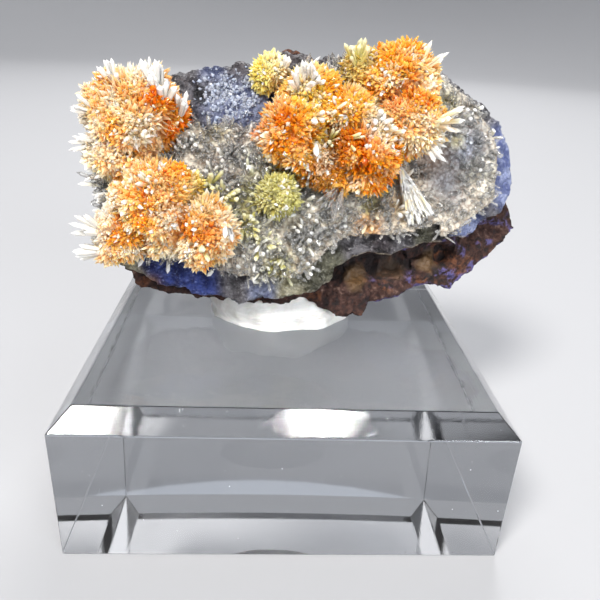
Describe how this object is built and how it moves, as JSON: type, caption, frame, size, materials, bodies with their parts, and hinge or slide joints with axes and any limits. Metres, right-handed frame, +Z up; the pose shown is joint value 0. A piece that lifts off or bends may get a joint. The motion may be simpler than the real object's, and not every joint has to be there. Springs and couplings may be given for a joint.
{
  "type": "creedite mineral cluster on a clear display block",
  "caption": "Orange balls and clear sprays of creedite crystals on fluorite and brown rock, leaning back on white putty on a bevelled clear acrylic block.",
  "frame": {"origin": "middle of the acrylic block's underside", "axes": "+X to the right of the crystal face, +Y away from the viewer, +Z up"},
  "size_m": [0.0574, 0.0508, 0.0563],
  "materials": {
    "acrylic": "clear, polished, with milled bevels",
    "putty": "matte, finger-pressed mineral putty",
    "rock": "rough, dark brown limonite rock",
    "fluorite": "granular blue-violet fluorite",
    "clear_creedite": "clear to pale grey-yellow prisms",
    "orange_creedite": "orange radiating prisms with pale tips",
    "yellow_creedite": "yellow to yellow-green radiating prisms"
  },
  "bodies": {
    "root": {"acrylic_base": "acrylic", "mounting_putty": "putty", "matrix_rock": "rock", "fluorite_crust": "fluorite", "creedite_carpet": "clear_creedite", "creedite_ball_upper_left": "orange_creedite", "creedite_ball_lower_left": "orange_creedite", "creedite_mass_centre": "orange_creedite", "creedite_tuft_yellow": "yellow_creedite", "creedite_ball_green": "yellow_creedite"}
  },
  "joints": []
}
